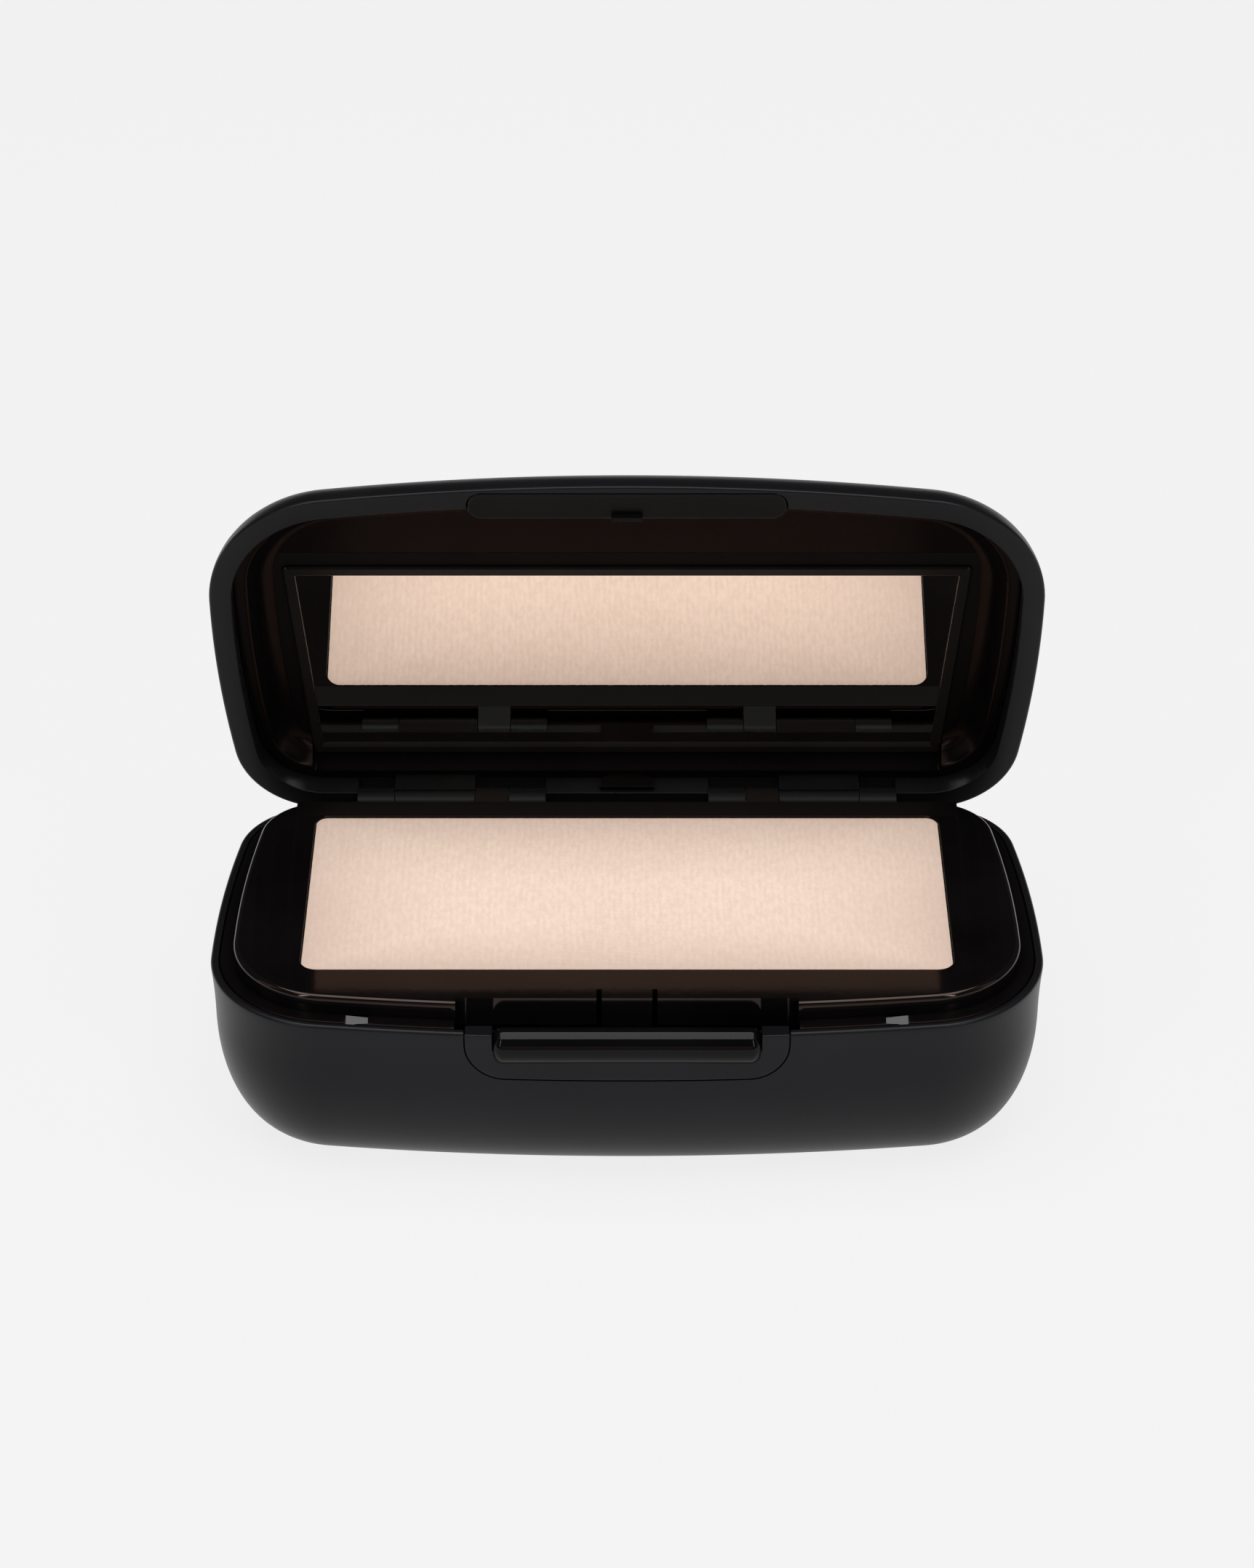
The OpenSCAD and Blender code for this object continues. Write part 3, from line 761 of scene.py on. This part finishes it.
def make_powder():
    """Cake with an embossed top, a soft shoulder over the pan's lip, and a body inside it."""
    w, d = PAN_LEN + 0.04, PAN_DEP + 0.04
    cy, top, rim = PAN_Y, DECK_Z - 0.05, DECK_Z - 0.145
    nx, ny, r, shoulder, drop = 300, 128, 0.9, 0.6, 0.08
    verts, faces = [], []
    # the top: a grid whose corners are drawn in to the radius r, falling to its edge
    for j in range(ny + 1):
        for i in range(nx + 1):
            sx, sy = 2 * i / nx - 1, 2 * j / ny - 1
            x, y = sx * w / 2, sy * d / 2
            ex, ey = w / 2 - abs(x), d / 2 - abs(y)
            if ex < r and ey < r:
                k = math.hypot(r - ex, r - ey)
                push = max(0.0, k - r)
                if k > 1e-9:
                    x -= math.copysign(push * (r - ex) / k, x)
                    y -= math.copysign(push * (r - ey) / k, y)
                e = max(0.0, r - min(k, r))
            else:
                e = min(ex, ey)
            soft = min(1.0, e / shoulder)
            z = top - drop * (1 - soft) ** 2 + rib_height(x, y) * soft
            verts.append((x, y + cy, z))
    row = nx + 1
    for j in range(ny):
        for i in range(nx):
            a = j * row + i
            faces.append((a, a + 1, a + row + 1, a + row))
    # loops round the edge: down to the lip, in over it, and down inside the pan
    edge = list(range(row)) + [j * row + nx for j in range(1, ny + 1)]
    edge += [ny * row + i for i in range(nx - 1, -1, -1)] + [j * row for j in range(ny - 1, 0, -1)]
    in_x, in_y = (PAN_LEN - 2 * PAN_SHEET) / w, (PAN_DEP - 2 * PAN_SHEET) / d
    low = WELL_FLOOR + PAD_T + PAN_SHEET
    loops = [edge]
    for z, kx, ky in ((rim, 1, 1), (rim, in_x * 0.999, in_y * 0.999),
                      (low, in_x * 0.99, in_y * 0.98)):
        start = len(verts)
        verts += [(verts[v][0] * kx, (verts[v][1] - cy) * ky + cy, z) for v in edge]
        loops.append(list(range(start, start + len(edge))))
    n = len(edge)
    for a, b in zip(loops, loops[1:]):
        faces += [(a[i], b[i], b[(i + 1) % n], a[(i + 1) % n]) for i in range(n)]
    faces.append(loops[-1][::-1])
    ob = mesh_object("powder", verts, faces)
    finish_piece(ob, "powder_cake", "tray", POWDER, "powder", "pressed_powder", smooth=60)


# --------------------------------------------------------------------- lid


def lid_out(a):
    """Outer surface of the lid at angle a of its rounding."""
    turn = 1 - COS(RAD(a))
    return LID_GROW - LID_ROUND * turn, RIM_Z + GAP + LID_DEPTH * SIN(RAD(a)), LID_LEAN * turn


def lid_in(a, t):
    """Inner surface, a depth t inside the outer one."""
    turn = 1 - COS(RAD(a))
    return (LID_GROW - t - (LID_ROUND - LID_SKIN_T) * turn,
            RIM_Z + GAP + (LID_DEPTH - t - 0.1) * SIN(RAD(a)), LID_LEAN * turn)


def tab_outline(grow=0.0):
    """The finger tab's outline, let into the lid's front rim."""
    return [(x, y + FRONT_Y + 1.8) for x, y in
            rounded_rect(TAB_LEN + 2 * grow, TAB_DEP + 2 * grow, TAB_R + grow, 10)]


def make_lid_shell():
    """Outer lid: inside, rim, rounded side and crowned top, with room for hinge and tab."""
    z0 = RIM_Z + GAP
    rings = [lid_in(a, LID_SKIN_T) for a in (88, 80, 70, 60, 50, 40, 30, 21)]
    rings += [(LID_IN, RIM_Z + 2.5), (LID_IN, z0 + 0.12), (LID_IN + 0.04, z0 + 0.03),
              (LID_IN + 0.12, z0)]
    r = 0.3
    rings += [(LID_GROW - r + r * SIN(RAD(a)), z0 + r - r * COS(RAD(a)))
              for a in (0, 25, 50, 75)]
    rings += [lid_out(a) for a in (3, *range(7, 83, 5), 86)]
    for t in (k / 8 for k in range(9)):
        rings.append((LID_GROW - LID_ROUND - LID_CROWN_W * t,
                      z0 + LID_DEPTH + LID_CROWN * SIN(t * math.pi / 2) * 0.999, LID_LEAN))
    ob = loft("lid", rings)
    cut(ob, *mirrored(hinge_room, -1, 2.25),
        prism("tab", tab_outline(0.02), z0 - 1, z0 + TAB_T + 0.02))
    finish_piece(ob, "lid_shell_skin", "lid", SATIN, "satin_black", "lid_shell", lid=True)


def make_lid_liner():
    """Lining with a curved cove round the mirror's deck, and the house-shaped centre lug."""
    z1, edge = RIM_Z + MIRROR_IN, LID_IN - 0.1
    rings = [(-5.6, z1, 0.5), (-5.15, z1 - 0.06, 0.5), (-4.7, z1 - 0.25, 0.5),
             (-4.3, z1 - 0.5, 0.45), (-4, z1 - 0.8, 0.4), (-3.72, z1 - 1.2, 0.3),
             (-3.5, z1 - 1.6, 0.2), (-3.28, z1 - 2.05, 0.15), (-3.1, RIM_Z + 2.7, 0.1),
             (-3.0, RIM_Z + 2.42, 0.03), (-2.86, RIM_Z + 2.32), (-2.7, RIM_Z + 2.3),
             (edge, RIM_Z + 2.3), (edge, RIM_Z + 2.45)]
    rings += [lid_in(a, LID_SKIN_T + 0.15) for a in (24, 31, 39, 48, 60, 75)]
    ob = loft("lining", rings)
    house = [(-2.8, 0.4), (2.8, 0.4), (2.8, 1.7), (1.5, 2.45), (-1.5, 2.45), (-2.8, 1.7)]
    lug = skin("lug", [[(x, y, RIM_Z + z) for x, z in house]
                       for y in (HINGE_Y - 2.15, HINGE_Y - 1.65)])
    add(ob, soften(lug, 0.12, angle=60))
    cut(ob, prism("pocket", mirror_outline(0.75, 0.5), RIM_Z + 2, z1 + 0.52),
        prism("seat", mirror_outline(0.05, 0.04), RIM_Z + 2, MIRROR_SEAT))
    finish_piece(ob, "lid_lining", "lid", LINING, "gloss_black", "lid_liner", lid=True)


def make_mirror_frame():
    """Narrow bezel of eight edges, closed round the mirror."""
    z = RIM_Z + MIRROR_IN - 0.4
    out, lip = mirror_outline(0.7, 0.45), mirror_outline(-0.4, 0.05)
    out_low, lip_low = mirror_outline(0.52, 0.35), mirror_outline(-0.25, 0.1)
    seat = mirror_outline(0.05, 0.05)
    rows = [(seat, z + 0.9), (seat, z + 0.4), (lip, z + 0.4), (lip, z + 0.15), (lip_low, z),
            (out_low, z), (out, z + 0.18), (out, z + 0.9)]
    n, m = len(out), len(rows)
    verts = [(x, y, zz) for pts, zz in rows for x, y in pts]
    faces = []
    for k in range(m):
        for i in range(n):
            j, q = (i + 1) % n, (k + 1) % m
            faces.append((k * n + i, k * n + j, q * n + j, q * n + i))
    ob = mesh_object("bezel", verts, faces)
    finish_piece(ob, "mirror_bezel", "lid", FRAME, "gloss_black", "mirror_frame", lid=True)


def make_mirror_surround():
    """Thin matt ring on the lid's deck round the mirror frame."""
    z = RIM_Z + MIRROR_IN - 0.02
    ring = prism("ring", mirror_outline(2.4, 1.2), z, z + 0.3)
    cut(ring, prism("hole", mirror_outline(0.8, 0.5), z - 1, z + 1))
    keep(ring, block(-HALF_W, HALF_W, -HINGE_Y, HINGE_Y - 5.6, z - 1, z + 1))
    finish_piece(ring, "mirror_surround", "lid", SILL, "gloss_black", lid=True)


def make_mirror():
    """Plate with a ground edge."""
    z = RIM_Z + MIRROR_IN
    ob = stack("mirror", [(mirror_outline(-0.45, 0.1), z), (mirror_outline(0, 0.1), z + 0.1),
                          (mirror_outline(0, 0.1), z + MIRROR_T)])
    finish_piece(ob, "mirror_plate", "lid", MIRROR, "mirror", "mirror_glass", smooth=5,
                 lid=True)


def make_tab():
    """Finger tab with a rounded face and the latch hook."""
    z0 = RIM_Z + GAP
    insets = ((0.45, 0.0), (0.2, 0.06), (0.06, 0.18), (0.0, 0.36), (0.0, TAB_T - 0.1),
              (0.1, TAB_T))
    ob = stack("tab", [(tab_outline(-inset), z0 + z) for inset, z in insets])
    add(ob, block(-HOOK_HALF, HOOK_HALF, FRONT_Y + 2.65, FRONT_Y + 3.15, RIM_Z - 0.6,
                  RIM_Z + 0.6))
    finish_piece(ob, "tab_piece", "lid", TAB, "satin_black", "finger_tab", lid=True)


# ------------------------------------------------------- everything in place

make_base_shell()
make_base_liner()
make_ledge_facets()
knuckles("base_knuckles", "base", BASE_BARRELS, reach=2.75, z0=RIM_Z - BARREL_R, z1=RIM_Z)
make_puff()
make_button_panel()
make_button_bar()
make_tray()
make_tray_sill()
knuckles("tray_knuckles", "tray", TRAY_BARRELS, reach=3.4, z0=RIM_Z + GAP,
         z1=RIM_Z + BARREL_R)
make_pan()
make_powder()
make_lid_shell()
make_lid_liner()
knuckles("lid_arms", "lid", LID_BARRELS, reach=2.1, z0=RIM_Z + GAP, z1=RIM_Z + 2.3, lid=True)
make_mirror_frame()
make_mirror_surround()
make_mirror()
make_tab()

# CAD nodes shown as they are, with their own materials
for node, mat in (("hinge_pin_left", STEEL), ("hinge_pin_right", STEEL), ("button_spring", STEEL),
                  ("pan_adhesive", ADHESIVE), ("mirror_adhesive", ADHESIVE)):
    ob = frame["nodes"][node]
    for s in ob.material_slots:
        s.material = mat

# ---------------------------------------------------- floor, lights, camera

FLOOR_HALF = 3.0  # metres, as is all below
corners = ((-1, -1), (1, -1), (1, 1), (-1, 1))
floor = mesh_object("floor", [(x * FLOOR_HALF, y * FLOOR_HALF, FLOOR_Z) for x, y in corners],
                    [(0, 1, 2, 3)])
PAPER_GLOW = 0.82
paper = Mat("pale_paper", (0.08, 0.08, 0.08), 0.9)
paper.set("Specular IOR Level", 0.0)
paper.set("Emission Color", (1, 1, 1, 1))
paper.set("Emission Strength", PAPER_GLOW)
fibre = paper.noise(400.0, detail=3.0)
paper.finish(rough=paper.remap(fibre, 0.3, 0.7, 0.85, 0.95))
floor.data.materials.append(paper.mat)

MIDDLE = (0, 0, 0.02)


def area_light(name, at, size, size_y, power, color=(1, 1, 1)):
    """Rectangular light aimed at the middle of the object."""
    light = bpy.data.lights.new(name, "AREA")
    light.color = color
    light.shape, light.size, light.size_y, light.energy = "RECTANGLE", size, size_y, power
    ob = bpy.data.objects.new(name, light)
    ob.location = at
    ob.rotation_mode = "QUATERNION"
    ob.rotation_quaternion = (Vector(MIDDLE) - Vector(at)).to_track_quat("-Z", "Y")
    bpy.context.scene.collection.objects.link(ob)


area_light("top_softbox", (0, -0.10, 0.75), size=0.9, size_y=0.6, power=6.1)
for side, name in ((-1, "left_strip"), (1, "right_strip")):
    area_light(name, (side * 0.75, -0.15, 0.35), size=0.25, size_y=0.7, power=0.22)
for side, name in ((-1, "left_kicker"), (1, "right_kicker")):
    area_light(name, (side * 0.42, -0.55, 0.42), size=0.05, size_y=0.5, power=0.8)
area_light("front_card", (0, -0.85, 0.19), size=0.7, size_y=0.22, power=0.21,
           color=(1.0, 0.6, 0.45))

WORLD_LIGHT = 0.05
world = bpy.data.worlds.new("studio")
bpy.context.scene.world = world
world.use_nodes = True
background = world.node_tree.nodes["Background"].inputs
background["Color"].default_value = (1, 1, 1, 1)
background["Strength"].default_value = WORLD_LIGHT

CAMERA_ELEVATION = 32.0
CAMERA_RANGE = 0.450
CAMERA_TARGET = Vector((0, 0.02519, 0.018))
SENSOR, LENS = 36.0, 99.93
cam = bpy.data.cameras.new("camera")
cam.sensor_fit, cam.sensor_width, cam.lens = "AUTO", SENSOR, LENS
cam.clip_start, cam.clip_end = 0.01, 20
camera = bpy.data.objects.new("camera", cam)
forward = Vector((0, COS(RAD(CAMERA_ELEVATION)), -SIN(RAD(CAMERA_ELEVATION))))
camera.location = CAMERA_TARGET - forward * CAMERA_RANGE
camera.rotation_mode = "QUATERNION"
camera.rotation_quaternion = forward.to_track_quat("-Z", "Y")
bpy.context.scene.collection.objects.link(camera)
bpy.context.scene.camera = camera
bpy.context.scene.view_settings.view_transform = "Standard"
